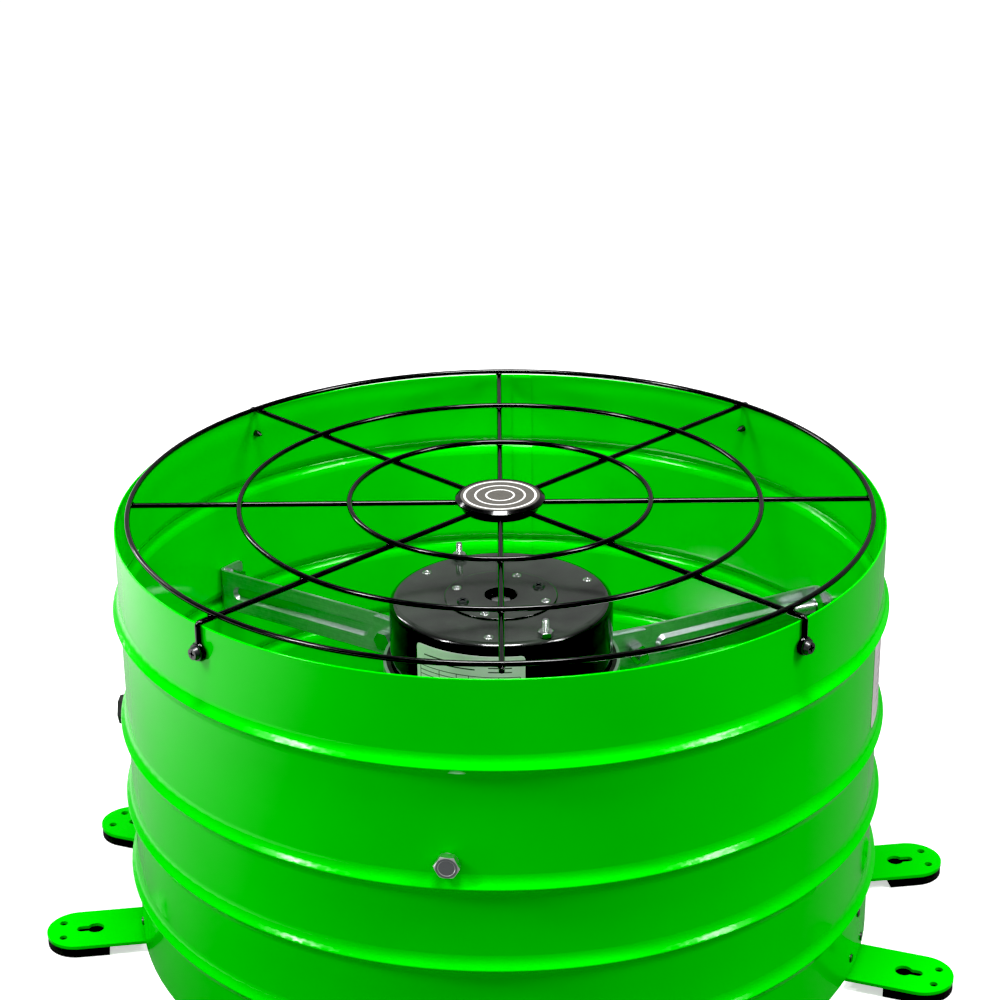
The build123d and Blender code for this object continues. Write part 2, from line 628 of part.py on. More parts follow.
with BuildPart() as wall_sticker:
    with BuildSketch(Plane.XY.offset(RIM - 114.8)):
        Circle(TUBE_R + 0.3)
        Circle(TUBE_R + 0.03, mode=Mode.SUBTRACT)
    extrude(amount=55.0)
    with BuildSketch(radial_plane(2.9, 100.0, RIM - 87.0)):
        RectangleRounded(2 * (TUBE_R + 0.3) * sin(radians(15.5)), 54.0, 3.0)
    extrude(amount=160, mode=Mode.INTERSECT)
write(wall_sticker, "wall_sticker")

# --------------------------------------------------------- turning assembly
with BuildPart() as motor_shaft:
    with BuildSketch(Plane.XY.offset(PROP_Z - 20.0)):
        Circle(SHAFT_R)
    extrude(amount=CAP_Z - 2.5 - PROP_Z + 20.0)
    chamfer(motor_shaft.edges().filter_by(GeomType.CIRCLE), 0.8)
    # flat for the set screw of the hub
    with BuildSketch(Plane.XY.offset(PROP_Z - 20.0)):
        with Locations((SHAFT_R + 3.9, 0)):
            Rectangle(10, 14)
    extrude(amount=34.0, mode=Mode.SUBTRACT)
write(motor_shaft, "motor_shaft")

with BuildPart() as rotor_core:
    with BuildSketch(Plane.XY.offset(RIM - 133.0)):
        Circle(30.6)
        Circle(SHAFT_R + 0.03, mode=Mode.SUBTRACT)
    extrude(amount=50.0)
    with BuildSketch(Plane.XY.offset(RIM - 133.0)):
        Circle(26.0)
        Circle(14.0, mode=Mode.SUBTRACT)
    extrude(amount=2.5, mode=Mode.SUBTRACT)
    with BuildSketch(Plane.XY.offset(RIM - 83.0)):
        Circle(26.0)
        Circle(14.0, mode=Mode.SUBTRACT)
    extrude(amount=-2.5, mode=Mode.SUBTRACT)
write(rotor_core, "rotor_core")

with BuildPart() as prop_hub:
    with BuildSketch(Plane.XY.offset(PROP_Z - HUB_H / 2)):
        Circle(HUB_R)
        Circle(SHAFT_R + 0.04, mode=Mode.SUBTRACT)
    extrude(amount=HUB_H)
    chamfer(prop_hub.edges().filter_by(GeomType.CIRCLE).sort_by(SortBy.LENGTH)[-2:], 1.0)
    with BuildSketch(Plane(origin=(0, 0, PROP_Z + 7.5), z_dir=(1, 0, 0))):
        Circle(3.2)
    extrude(amount=HUB_R + 2, mode=Mode.SUBTRACT)
write(prop_hub, "prop_hub")

with BuildPart() as hub_set_screw:
    with BuildSketch(Plane(origin=(5.35, 0, PROP_Z + 7.5), z_dir=(1, 0, 0))):
        Circle(3.1)
    extrude(amount=10.5)
    with BuildSketch(Plane(origin=(13.0, 0, PROP_Z + 7.5), z_dir=(1, 0, 0))):
        RegularPolygon(1.6, 6, major_radius=False)
    extrude(amount=4, mode=Mode.SUBTRACT)
write(hub_set_screw, "hub_set_screw")

# riveted spider: disc with four arms twisted to the blade pitch
with BuildPart() as prop_spider:
    with BuildSketch(Plane.XY.offset(PROP_Z - SPIDER_T / 2)):
        Circle(36.0)
    extrude(amount=SPIDER_T)
    for k in range(BLADES):
        a, p = radians(360 / BLADES * k), radians(PITCH)
        out = (cos(a), sin(a), 0)
        up = (sin(p) * sin(a), -sin(p) * cos(a), cos(p))
        with BuildSketch(Plane(origin=(0, 0, PROP_Z), x_dir=out, z_dir=up).offset(-SPIDER_T / 2)):
            with Locations(((24.0 + ARM_END) / 2, 0)):
                RectangleRounded(ARM_END - 24.0, 26.0, 5.0)
        extrude(amount=SPIDER_T)
    with BuildSketch(Plane.XY.offset(PROP_Z - 30)):
        Circle(HUB_R + 0.03)
    extrude(amount=60, mode=Mode.SUBTRACT)
write(prop_spider, "prop_spider")

# one blade in its own flat frame: chord on Y, span on X, cambered about X
LIFT = SPIDER_T / 2 + 0.62
with BuildPart() as blade_blank:
    with BuildSketch(Plane.YZ):
        with Locations((0, LIFT + BLADE_T - CAMBER_R)):
            Circle(CAMBER_R)
            Circle(CAMBER_R - BLADE_T, mode=Mode.SUBTRACT)
    extrude(amount=240)
    with BuildSketch(Plane.XY.offset(-40)):
        with BuildLine():
            Spline((54, -20), (90, -44), (140, -62), (190, -66), tangents=[(0.8, -0.7), (1, 0.15)])
            Spline((190, -66), (208, -44), (212, 0), (206, 46), (192, 58), tangents=[(1, 0.15), (-1, 0.1)])
            Spline((192, 58), (140, 46), (90, 32), (54, 20), tangents=[(-1, -0.2), (-1, -0.35)])
            Line((54, 20), (54, -20))
        make_face()
    extrude(amount=90, mode=Mode.INTERSECT)
for k in range(BLADES):
    with BuildPart() as prop_blade:
        add(blade_blank.part.rotate(Axis.X, PITCH).translate((0, 0, PROP_Z)).rotate(Axis.Z, 360 / BLADES * k))
    write(prop_blade, "prop_blade_%d" % (k + 1))

with BuildPart() as prop_rivets:
    for k in range(BLADES):
        a, p = radians(360 / BLADES * k), radians(PITCH)
        out = (cos(a), sin(a), 0)
        up = (sin(p) * sin(a), -sin(p) * cos(a), cos(p))
        base = Plane(origin=(0, 0, PROP_Z), x_dir=out, z_dir=up)
        with BuildSketch(base.offset(LIFT + BLADE_T + 0.02)):
            with Locations((66, 7), (66, -7), (86, 0)):
                Circle(3.4)
        extrude(amount=1.3, taper=30)
        with BuildSketch(base.offset(-SPIDER_T / 2)):
            with Locations((66, 7), (66, -7), (86, 0)):
                Circle(3.4)
        extrude(amount=-1.2, taper=30)
write(prop_rivets, "prop_rivets")
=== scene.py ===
import bpy, bmesh, json, math, random
from math import sin, cos, radians, pi, sqrt
from mathutils import Vector, Matrix


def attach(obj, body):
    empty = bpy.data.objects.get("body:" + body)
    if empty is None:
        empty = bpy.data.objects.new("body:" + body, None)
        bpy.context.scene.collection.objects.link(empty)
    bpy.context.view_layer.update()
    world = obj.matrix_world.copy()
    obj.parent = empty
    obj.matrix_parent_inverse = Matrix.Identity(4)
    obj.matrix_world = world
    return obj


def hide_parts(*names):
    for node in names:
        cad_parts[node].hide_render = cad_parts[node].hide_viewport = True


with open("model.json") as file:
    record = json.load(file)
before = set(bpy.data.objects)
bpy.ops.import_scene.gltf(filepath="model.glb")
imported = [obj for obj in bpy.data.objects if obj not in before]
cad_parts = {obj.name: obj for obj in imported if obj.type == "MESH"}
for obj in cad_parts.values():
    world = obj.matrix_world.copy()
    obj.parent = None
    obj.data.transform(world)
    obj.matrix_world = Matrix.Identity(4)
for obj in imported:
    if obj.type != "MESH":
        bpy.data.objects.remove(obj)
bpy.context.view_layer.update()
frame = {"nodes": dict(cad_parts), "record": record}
random.seed(7)
scene = bpy.context.scene
nodes = frame["nodes"]

# ------------------------------------------------------------------ camera
R = 0.2286
RIM = 0.278
TURN = radians(6.4)
pitch, roll = 0.3992, -0.0096
spin = Matrix.Rotation(TURN, 3, "Z")
fwd = Vector((0, cos(pitch), -sin(pitch)))
right = Vector((1, 0, 0))
up = right.cross(fwd)
r2 = spin @ (cos(roll) * right + sin(roll) * up)
u2 = spin @ (-sin(roll) * right + cos(roll) * up)
f2 = spin @ fwd
eye = spin @ Vector((-0.0003 * R, -5.8677 * R, 2.4887 * R)) + Vector((0, 0, RIM))
cam_data = bpy.data.cameras.new("camera")
cam_data.sensor_width = 36.0
cam_data.lens = 87.864
cam_data.clip_start = 0.01
cam_data.clip_end = 50
camera = bpy.data.objects.new("camera", cam_data)
scene.collection.objects.link(camera)
m = Matrix((r2, u2, -f2)).transposed().to_4x4()
m.translation = eye
camera.matrix_world = m
scene.camera = camera


# --------------------------------------------------------------- materials
class Mat:
    """A node material with a few shortcuts."""

    def __init__(self, name):
        self.mat = bpy.data.materials.new(name)
        self.mat.use_nodes = True
        self.t = self.mat.node_tree
        self.p = self.t.nodes["Principled BSDF"]
        self.tc = self.t.nodes.new("ShaderNodeTexCoord")

    def set(self, **kw):
        for k, v in kw.items():
            self.p.inputs[k.replace("_", " ")].default_value = v
        return self

    def node(self, kind, **kw):
        n = self.t.nodes.new(kind)
        for k, v in kw.items():
            if hasattr(n, k):
                setattr(n, k, v)
            else:
                n.inputs[k.replace("_", " ")].default_value = v
        return n

    def link(self, a, b):
        self.t.links.new(a, b)

    def mapped(self, scale):
        mp = self.node("ShaderNodeMapping")
        mp.inputs["Scale"].default_value = scale
        self.link(self.tc.outputs["Object"], mp.inputs["Vector"])
        return mp.outputs["Vector"]

    def noise(self, scale, detail=4.0, rough=0.55, vec=None):
        n = self.node("ShaderNodeTexNoise")
        n.inputs["Scale"].default_value = scale
        n.inputs["Detail"].default_value = detail
        n.inputs["Roughness"].default_value = rough
        self.link(vec if vec else self.tc.outputs["Object"], n.inputs["Vector"])
        return n.outputs["Fac"]

    def ramp(self, fac, stops):
        r = self.node("ShaderNodeValToRGB")
        e = r.color_ramp.elements
        while len(e) < len(stops):
            e.new(0.5)
        for el, (pos, col) in zip(e, stops):
            el.position = pos
            el.color = (*col, 1) if len(col) == 3 else col
        self.link(fac, r.inputs["Fac"])
        return r.outputs["Color"]

    def remap(self, fac, lo, hi, a=0.0, b=1.0):
        r = self.node("ShaderNodeMapRange")
        r.inputs["From Min"].default_value = a
        r.inputs["From Max"].default_value = b
        r.inputs["To Min"].default_value = lo
        r.inputs["To Max"].default_value = hi
        self.link(fac, r.inputs["Value"])
        return r.outputs["Result"]

    def math(self, op, a, b=None, c=None):
        n = self.node("ShaderNodeMath", operation=op)
        for i, v in enumerate((a, b, c)):
            if v is None:
                continue
            if isinstance(v, (int, float)):
                n.inputs[i].default_value = v
            else:
                self.link(v, n.inputs[i])
        return n.outputs[0]

    def mix(self, fac, a, b):
        n = self.node("ShaderNodeMix", data_type="RGBA")
        self.link(fac, n.inputs[0]) if not isinstance(fac, (int, float)) else setattr(n.inputs[0], "default_value", fac)
        for sock, v in ((n.inputs[6], a), (n.inputs[7], b)):
            if isinstance(v, tuple):
                sock.default_value = (*v, 1)
            else:
                self.link(v, sock)
        return n.outputs[2]

    def bump(self, height, strength, dist, prev=None):
        b = self.node("ShaderNodeBump")
        b.inputs["Strength"].default_value = strength
        b.inputs["Distance"].default_value = dist
        self.link(height, b.inputs["Height"])
        if prev:
            self.link(prev, b.inputs["Normal"])
        self.last = b.outputs["Normal"]
        return self.last

    def out(self, color=None, rough=None, normal=None, metallic=None):
        if color is not None:
            self.link(color, self.p.inputs["Base Color"])
        if rough is not None:
            self.link(rough, self.p.inputs["Roughness"])
        if normal is not None:
            self.link(normal, self.p.inputs["Normal"])
        return self.mat


def green_enamel():
    m = Mat("green_enamel")
    big = m.noise(9.0, 3)
    col = m.ramp(big, [(0.3, (0.0010, 0.560, 0.0012)), (0.7, (0.0014, 0.610, 0.0016))])
    rough = m.remap(m.noise(60, 4), 0.13, 0.21)
    peel = m.noise(420, 2, 0.5)
    n = m.bump(peel, 0.035, 0.0004)
    m.set(Specular_IOR_Level=0.22)
    return m.out(col, rough, n)


def wire_black():
    m = Mat("black_wire")
    col = m.ramp(m.noise(160, 4), [(0.3, (0.002, 0.002, 0.002)), (0.75, (0.005, 0.005, 0.005))])
    rough = m.remap(m.noise(300, 3), 0.10, 0.20)
    n = m.bump(m.noise(260, 3), 0.10, 0.0005)
    m.set(Specular_IOR_Level=0.28, Coat_Weight=0.24, Coat_Roughness=0.05)
    return m.out(col, rough, n)


def motor_black():
    m = Mat("motor_black")
    col = m.ramp(m.noise(24, 5), [(0.3, (0.003, 0.003, 0.003)), (0.8, (0.007, 0.007, 0.007))])
    rough = m.remap(m.noise(70, 4), 0.10, 0.22)
    n = m.bump(m.noise(480, 2), 0.05, 0.0004)
    n = m.bump(m.noise(38, 3), 0.10, 0.0012, n)
    up = m.node("ShaderNodeSeparateXYZ")
    m.link(m.tc.outputs["Normal"], up.inputs[0])
    flat = m.remap(up.outputs[2], 0.0, 1.0, 0.35, 0.9)
    m.link(m.remap(flat, 0.06, 0.60), m.p.inputs["Coat Weight"])
    m.link(m.remap(flat, 0.14, 0.50), m.p.inputs["Specular IOR Level"])
    # painted sheen: a mottled lighter colour on upward-facing faces, added to the base colour by the tint node below,
    # stands in for reflections on the top plate
    painted_top_sheen = m.ramp(m.math("MULTIPLY", m.noise(15, 3, 0.6), flat), [(0.38, (0.0, 0.0, 0.0)), (0.62, (0.018, 0.025, 0.018))])
    tint = m.node("ShaderNodeMix", data_type="RGBA", blend_type="ADD")
    tint.inputs[0].default_value = 1.0
    m.link(col, tint.inputs[6])
    m.link(painted_top_sheen, tint.inputs[7])
    m.set(Coat_Roughness=0.07)
    return m.out(tint.outputs[2], rough, n)


def rubber():
    m = Mat("black_rubber")
    col = m.ramp(m.noise(220, 5), [(0.3, (0.010, 0.010, 0.010)), (0.8, (0.022, 0.021, 0.020))])
    rough = m.remap(m.noise(500, 4), 0.62, 0.85)
    n = m.bump(m.noise(1400, 4), 0.25, 0.0004)
    m.set(Specular_IOR_Level=0.35)
    return m.out(col, rough, n)


def nylon():
    m = Mat("black_nylon")
    col = m.ramp(m.noise(120, 4), [(0.3, (0.011, 0.011, 0.012)), (0.8, (0.022, 0.022, 0.023))])
    rough = m.remap(m.noise(300, 4), 0.34, 0.5)
    n = m.bump(m.noise(1600, 3), 0.12, 0.0002)
    return m.out(col, rough, n)


def galvanised(name, tint=(0.47, 0.54, 0.52), rough=(0.29, 0.40)):
    m = Mat(name)
    v = m.node("ShaderNodeTexVoronoi", feature="F1")
    v.inputs["Scale"].default_value = 520
    m.link(m.tc.outputs["Object"], v.inputs["Vector"])
    cell = m.node("ShaderNodeSeparateColor")
    m.link(v.outputs["Color"], cell.inputs[0])
    flake = m.ramp(cell.outputs[0], [(0.0, tuple(c * 0.95 for c in tint)), (1.0, tuple(min(1, c * 1.05) for c in tint))])
    rolled = m.noise(1.0, 4, 0.5, m.mapped((40, 40, 900)))
    cloud = m.ramp(rolled, [(0.35, (0.88, 0.88, 0.89)), (0.65, (1, 1, 1))])
    mul = m.node("ShaderNodeMix", data_type="RGBA", blend_type="MULTIPLY")
    mul.inputs[0].default_value = 1.0
    m.link(flake, mul.inputs[6])
    m.link(cloud, mul.inputs[7])
    r = m.remap(rolled, *rough)
    n = m.bump(rolled, 0.03, 0.0002)
    m.set(Metallic=0.9, Specular_IOR_Level=0.6)
    return m.out(mul.outputs[2], r, n)


def plated(name="zinc_fastener", lo=(0.40, 0.42, 0.43), hi=(0.68, 0.69, 0.68), r=(0.12, 0.26)):
    m = Mat(name)
    col = m.ramp(m.noise(240, 4), [(0.3, lo), (0.75, hi)])
    rough = m.remap(m.noise(600, 4), *r)
    n = m.bump(m.noise(1500, 3), 0.08, 0.0002)
    m.set(Metallic=1.0)
    return m.out(col, rough, n)


def headed():
    """Plated head: the end face pointing out from the tube is painted dark as shade, the flanks and chamfer are painted
    bright as highlight.
    """
    m = Mat("zinc_bolt_head")
    sp = m.node("ShaderNodeSeparateXYZ")
    m.link(m.tc.outputs["Object"], sp.inputs[0])
    flat = m.node("ShaderNodeCombineXYZ")
    m.link(sp.outputs[0], flat.inputs[0])
    m.link(sp.outputs[1], flat.inputs[1])
    unit = m.node("ShaderNodeVectorMath", operation="NORMALIZE")
    m.link(flat.outputs[0], unit.inputs[0])
    dot = m.node("ShaderNodeVectorMath", operation="DOT_PRODUCT")
    m.link(unit.outputs[0], dot.inputs[0])
    m.link(m.tc.outputs["Normal"], dot.inputs[1])
    # painted shade and highlight: faces pointing out from the tube axis get the dark colour, the flanks and chamfer the
    # bright one
    col = m.ramp(dot.outputs["Value"], [(0.90, (0.66, 0.68, 0.68)), (0.97, (0.24, 0.25, 0.26))])
    rough = m.remap(m.noise(600, 4), 0.24, 0.36)
    n = m.bump(m.noise(420, 3), 0.18, 0.0004)
    m.set(Metallic=1.0)
    return m.out(col, rough, n)


def black_fastener():
    m = Mat("black_fastener")
    col = m.ramp(m.noise(400, 4), [(0.3, (0.010, 0.010, 0.012)), (0.8, (0.024, 0.022, 0.026))])
    rough = m.remap(m.noise(700, 4), 0.22, 0.42)
    n = m.bump(m.noise(1500, 3), 0.15, 0.0002)
    m.set(Specular_IOR_Level=0.7)
    return m.out(col, rough, n)


def brushed(name, tint, scale=(6, 900, 900), r=(0.22, 0.4)):
    m = Mat(name)
    v = m.mapped(scale)
    s = m.noise(1.0, 5, 0.6, v)
    lo = tuple(c * 0.82 for c in tint)
    col = m.ramp(s, [(0.3, lo), (0.7, tint)])
    rough = m.remap(s, *r)
    n = m.bump(s, 0.05, 0.0003)
    m.set(Metallic=1.0)
    return m.out(col, rough, n)


def radius_of(m, centre=(0, 0)):
    s = m.node("ShaderNodeSeparateXYZ")
    m.link(m.tc.outputs["Object"], s.inputs[0])
    x = m.math("SUBTRACT", s.outputs[0], centre[0])
    y = m.math("SUBTRACT", s.outputs[1], centre[1])
    return m.math("SQRT", m.math("ADD", m.math("MULTIPLY", x, x), m.math("MULTIPLY", y, y)))


def band_mask(m, v, lo, hi):
    return m.math("MULTIPLY", m.math("GREATER_THAN", v, lo), m.math("LESS_THAN", v, hi))


def badge():
    m = Mat("badge_plate")
    r = radius_of(m)
    rings = band_mask(m, r, 0.0206, 0.0219)
    for a, b in ((0.0143, 0.0153), (0.0078, 0.0088)):
        rings = m.math("ADD", rings, band_mask(m, r, a, b))
    grain = m.ramp(m.noise(800, 4), [(0.3, (0.060, 0.057, 0.049)), (0.7, (0.100, 0.095, 0.082))])
    col = m.mix(rings, grain, (0.86, 0.86, 0.83))
    rough = m.remap(m.noise(500, 4), 0.30, 0.44)
    n = m.bump(m.noise(1800, 3), 0.12, 0.0002)
    m.set(Specular_IOR_Level=0.5, Coat_Weight=0.3, Coat_Roughness=0.2)
    return m.out(col, rough, n)


def label(name, base, line, az0, r0, z0, bars, shine=0.0):
    """Blank film with a plain ruled grid; az measured at radius r0, z0 is the lower edge."""
    m = Mat(name)
    s = m.node("ShaderNodeSeparateXYZ")
    m.link(m.tc.outputs["Object"], s.inputs[0])
    ang = m.math("ARCTAN2", s.outputs[1], s.outputs[0])
    # angle from the label's left edge, in metres along the wall
    rel = m.math("MULTIPLY", m.math("SUBTRACT", ang, az0), r0)
    z = m.math("SUBTRACT", s.outputs[2], z0)
    mask = None
    for a, b, za, zb in bars:
        q = m.math("MULTIPLY", band_mask(m, rel, a, b), band_mask(m, z, za, zb))
        mask = q if mask is None else m.math("MAXIMUM", mask, q)
    film = m.ramp(m.noise(90, 4), [(0.3, tuple(c * 0.93 for c in base)), (0.7, base)])
    col = m.mix(mask, film, line)
    rough = m.remap(m.noise(260, 3), 0.28, 0.42)
    n = m.bump(m.noise(700, 3), 0.05, 0.0002)
    m.set(Specular_IOR_Level=0.45, Metallic=shine)
    return m.out(col, rough, n)


def grid_bars(w, h, cols, rows, t, top):
    """Rules of a plain table: outer frame, rows and columns below the line `top`."""
    bars = []
    x0, x1, y0, y1 = 0.003, w - 0.003, 0.002, top
    for i in range(rows + 1):
        y = y0 + (y1 - y0) * i / rows
        bars.append((x0, x1, y - t / 2, y + t / 2))
    for c in cols:
        x = x0 + (x1 - x0) * c
        bars.append((x - t / 2, x + t / 2, y0, y1))
    return bars


def copper():
    m = Mat("copper_wire")
    w = m.node("ShaderNodeTexWave", wave_type="RINGS", rings_direction="Z")
    w.inputs["Scale"].default_value = 320
    w.inputs["Distortion"].default_value = 2.5
    w.inputs["Detail"].default_value = 3
    m.link(m.tc.outputs["Object"], w.inputs["Vector"])
    col = m.ramp(w.outputs["Fac"], [(0.2, (0.20, 0.055, 0.015)), (0.8, (0.50, 0.19, 0.07))])
    n = m.bump(w.outputs["Fac"], 0.5, 0.0006)
    m.set(Roughness=0.35, Metallic=0.6)
    return m.out(col, None, n)


def laminated():
    m = Mat("lamination")
    w = m.node("ShaderNodeTexWave", wave_type="BANDS", bands_direction="Z")
    w.inputs["Scale"].default_value = 300
    m.link(m.tc.outputs["Object"], w.inputs["Vector"])
    col = m.ramp(w.outputs["Fac"], [(0.2, (0.10, 0.10, 0.11)), (0.8, (0.30, 0.30, 0.32))])
    n = m.bump(w.outputs["Fac"], 0.4, 0.0003)
    m.set(Roughness=0.45, Metallic=0.9)
    return m.out(col, None, n)


LAB_R, LAB_Z = 0.0683, RIM - 0.0974
lab_w = radians(58.6) * LAB_R
lab_bars = grid_bars(lab_w, 0.030, (0, 0.22, 0.40, 0.52, 0.80, 1), 5, 0.00045, 0.0165)
lab_bars += [(0.006, 0.040, 0.0205, 0.0213), (0.006, 0.030, 0.0235, 0.0243)]
lab_bars += [(0.048, 0.062, z, z + 0.0007) for z in (0.0195, 0.0222, 0.0249)]
STK_R, STK_Z = 0.2289, RIM - 0.1140
stk_w = radians(31.0) * STK_R
stk_bars = [(0.006, stk_w - 0.006, 0.006, 0.0066), (0.006, stk_w - 0.006, 0.046, 0.0466), (0.006, 0.0066, 0.006, 0.0466),
            (stk_w - 0.0066, stk_w - 0.006, 0.006, 0.0466)]
stk_bars += [(0.012, stk_w - 0.04 + 0.012 * (i % 3), 0.012 + 0.0055 * i, 0.0135 + 0.0055 * i) for i in range(6)]

MATS = {
    "green_enamel": green_enamel(),
    "black_wire": wire_black(),
    "motor_black": motor_black(),
    "black_rubber": rubber(),
    "black_nylon": nylon(),
    "galvanised": galvanised("galvanised"),
    "zinc_fastener": plated(),
    "black_fastener": black_fastener(),
    "badge_plate": badge(),
    "label_film": label("motor_label_film", (0.86, 0.88, 0.86), (0.030, 0.032, 0.030), radians(229.4 - 360), LAB_R, LAB_Z, lab_bars, 0.40),
    "copper_wire": copper(),
    "lamination": laminated(),
    "bright_steel": brushed("bright_steel", (0.70, 0.70, 0.71), (900, 900, 40), (0.15, 0.3)),
    "blade_aluminium": brushed("blade_aluminium", (0.78, 0.79, 0.80), (14, 700, 700), (0.26, 0.42)),
    "hub_casting": galvanised("hub_casting", (0.50, 0.50, 0.52), (0.35, 0.5)),
}
sticker_mat = label("wall_sticker_film", (0.72, 0.66, 0.68), (0.30, 0.27, 0.29), radians(-12.6), STK_R, STK_Z, stk_bars)

slot_of = {s["node"]: s["material_slot"] for s in frame["record"]["subparts"]}
for name, ob in nodes.items():
    mat = sticker_mat if name == "wall_sticker" else MATS[slot_of[name]]
    ob.data.materials.clear()
    ob.data.materials.append(mat)

# ------------------------------------------------------------ detailed pieces
MM = 0.001


class Shell:
    """Rings of points joined into closed, smooth surfaces."""

    def __init__(self):
        self.bm = bmesh.new()

    def rings(self, rings, frame_m, cap0=True, cap1=True):
        rows = [[self.bm.verts.new(frame_m @ Vector(q)) for q in r] for r in rings]
        for a, b in zip(rows, rows[1:]):
            n = len(a)
            for i in range(n):
                self.bm.faces.new((a[i], a[(i + 1) % n], b[(i + 1) % n], b[i]))
        if cap0:
            self.bm.faces.new(rows[0][::-1])
        if cap1:
            self.bm.faces.new(rows[-1])

    def done(self, name, mat, replaced=(), body="fan", angle=28):
        bmesh.ops.recalc_face_normals(self.bm, faces=self.bm.faces)
        me = bpy.data.meshes.new(name)
        self.bm.to_mesh(me)
        self.bm.free()
        me.polygons.foreach_set("use_smooth", [True] * len(me.polygons))
        me.set_sharp_from_angle(angle=radians(angle))
        me.materials.append(mat)
        ob = bpy.data.objects.new(name, me)
        scene.collection.objects.link(ob)
        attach(ob, body)
        if replaced:
            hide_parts(*replaced)
        return ob


def circle(r, z, n=32, turn=0.0):
    return [(r * cos(turn + 2 * pi * i / n), r * sin(turn + 2 * pi * i / n), z) for i in range(n)]


def lathe(sh, prof, fm_, n=36):
    sh.rings([circle(r * MM, z * MM, n) for r, z in prof], fm_)


def hex_head(sh, af, h, fm_, turn=0.0, hole=0.0, both=False, n=72):
    """Hexagon with the curved chamfer that a cone cuts on its corners."""
    def ring(z):
        out = []
        for i in range(n):
            a = 2 * pi * i / n
            flat = (af / 2) / cos((a % (pi / 3)) - pi / 6)
            cone = af * 0.47 + (h - z) / math.tan(radians(30))
            if both:
                cone = min(cone, af * 0.47 + z / math.tan(radians(30)))
            r = min(flat, cone)
            out.append((r * cos(a + turn) * MM, r * sin(a + turn) * MM, z * MM))
        return out
    zs = [h * t for t in ((0, 0.05, 0.1, 0.15, 0.2) if both else (0, 0.2))] + [h * t for t in (0.5, 0.8, 0.85, 0.9, 0.94, 0.97, 1.0)]
    rows = [ring(z) for z in zs]
    if hole:
        rows = [circle(hole * MM, 0, n, turn)] + rows + [circle(hole * MM, h * MM, n, turn)]
        rows = rows + [circle(hole * MM, 0.02 * MM, n, turn)]
        sh.rings(rows, fm_, False, False)
    else:
        rows.append([(q[0] * 0.80, q[1] * 0.80, q[2]) for q in rows[-1]])
        rows.append([(q[0] * 0.74, q[1] * 0.74, q[2] - 0.25 * MM) for q in rows[-2]])
        sh.rings(rows, fm_)


def thread(sh, r, z0, z1, pitch, fm_, depth=None, n=28, per=8):
    """Screw thread from z0 to z1 with a tapered first turn."""
    depth = depth or 0.55 * pitch
    count = max(4, int(abs(z1 - z0) / pitch * per))
    rows = []
    for k in range(count + 1):
        z = z0 + (z1 - z0) * k / count
        end = min(1.0, k / (per * 0.8), (count - k) / (per * 0.8))
        row = []
        for i in range(n):
            a = 2 * pi * i / n
            w = abs(((z / pitch - a / (2 * pi)) % 1.0) * 2 - 1)
            w = min(1.0, max(0.0, (w - 0.12) / 0.76))
            rr = r - depth * (1 - w * end) * 1.0
            row.append((rr * cos(a) * MM, rr * sin(a) * MM, z * MM))
        rows.append(row)
    sh.rings(rows, fm_)


def outward(az, radius, z, roll=0.0):
    """Frame at a point of the wall: local z points out, local y up."""
    a = radians(az)
    o = Vector((cos(a), sin(a), 0))
    u = Vector((0, 0, 1))
    mtx = Matrix((u.cross(o), u, o)).transposed().to_4x4()
    mtx.translation = Vector((cos(a) * radius, sin(a) * radius, z))
    return mtx @ Matrix.Rotation(roll, 4, "Z")


def upright(x, y, z, flip=False):
    mtx = Matrix.Translation((x, y, z))
    return mtx @ Matrix.Rotation(pi, 4, "X") if flip else mtx


CAP_Z = RIM - 0.060
BELL_Z = RIM - 0.156
BOLT_Z = RIM - 0.1092
ZINC = MATS["zinc_fastener"]

# wall bolts: chamfered heads on a washer face, threaded shanks inside
sh = Shell()
for k, az in enumerate((29.0, 149.0, 269.0)):
    f = outward(az, 0.2286, BOLT_Z)
    lathe(sh, [(3.0, 0.06), (6.3, 0.06), (6.3, 0.55), (5.9, 0.95), (3.0, 0.95)], f)
    hex_head(sh, 12.7, 5.1, f @ Matrix.Translation((0, 0, 0.95 * MM)), radians((12, 17, -3)[k]))
    thread(sh, 3.93, -26.8, 0.1, 1.41, f)
sh.done("bolts_in_wall", headed(), ("wall_bolts",))

# motor studs and their nuts
sh = Shell()
for az in (121.4, 301.4):
    x, y = 0.0615 * cos(radians(az)), 0.0615 * sin(radians(az))
    thread(sh, 2.08, -16.0, 10.7, 0.79, upright(x, y, CAP_Z), n=24)
    thread(sh, 2.08, -16.0, 6.9, 0.79, upright(x, y, BELL_Z, True), n=24)
    sh.rings([circle(1.75 * MM, z) for z in (BELL_Z + 0.0158, CAP_Z - 0.0158)], upright(x, y, 0))
sh.done("studs_threaded", ZINC, ("motor_through_studs",))
sh = Shell()
for az in (121.4, 301.4):
    x, y = 0.0615 * cos(radians(az)), 0.0615 * sin(radians(az))
    hex_head(sh, 8.4, 3.5, upright(x, y, CAP_Z + 0.00003), radians(az + 12), hole=2.14, both=True)
    hex_head(sh, 8.4, 3.5, upright(x, y, BELL_Z - 0.00003, True), radians(az + 12), hole=2.14, both=True)
sh.done("nuts_on_studs", ZINC, ("motor_stud_nuts",))

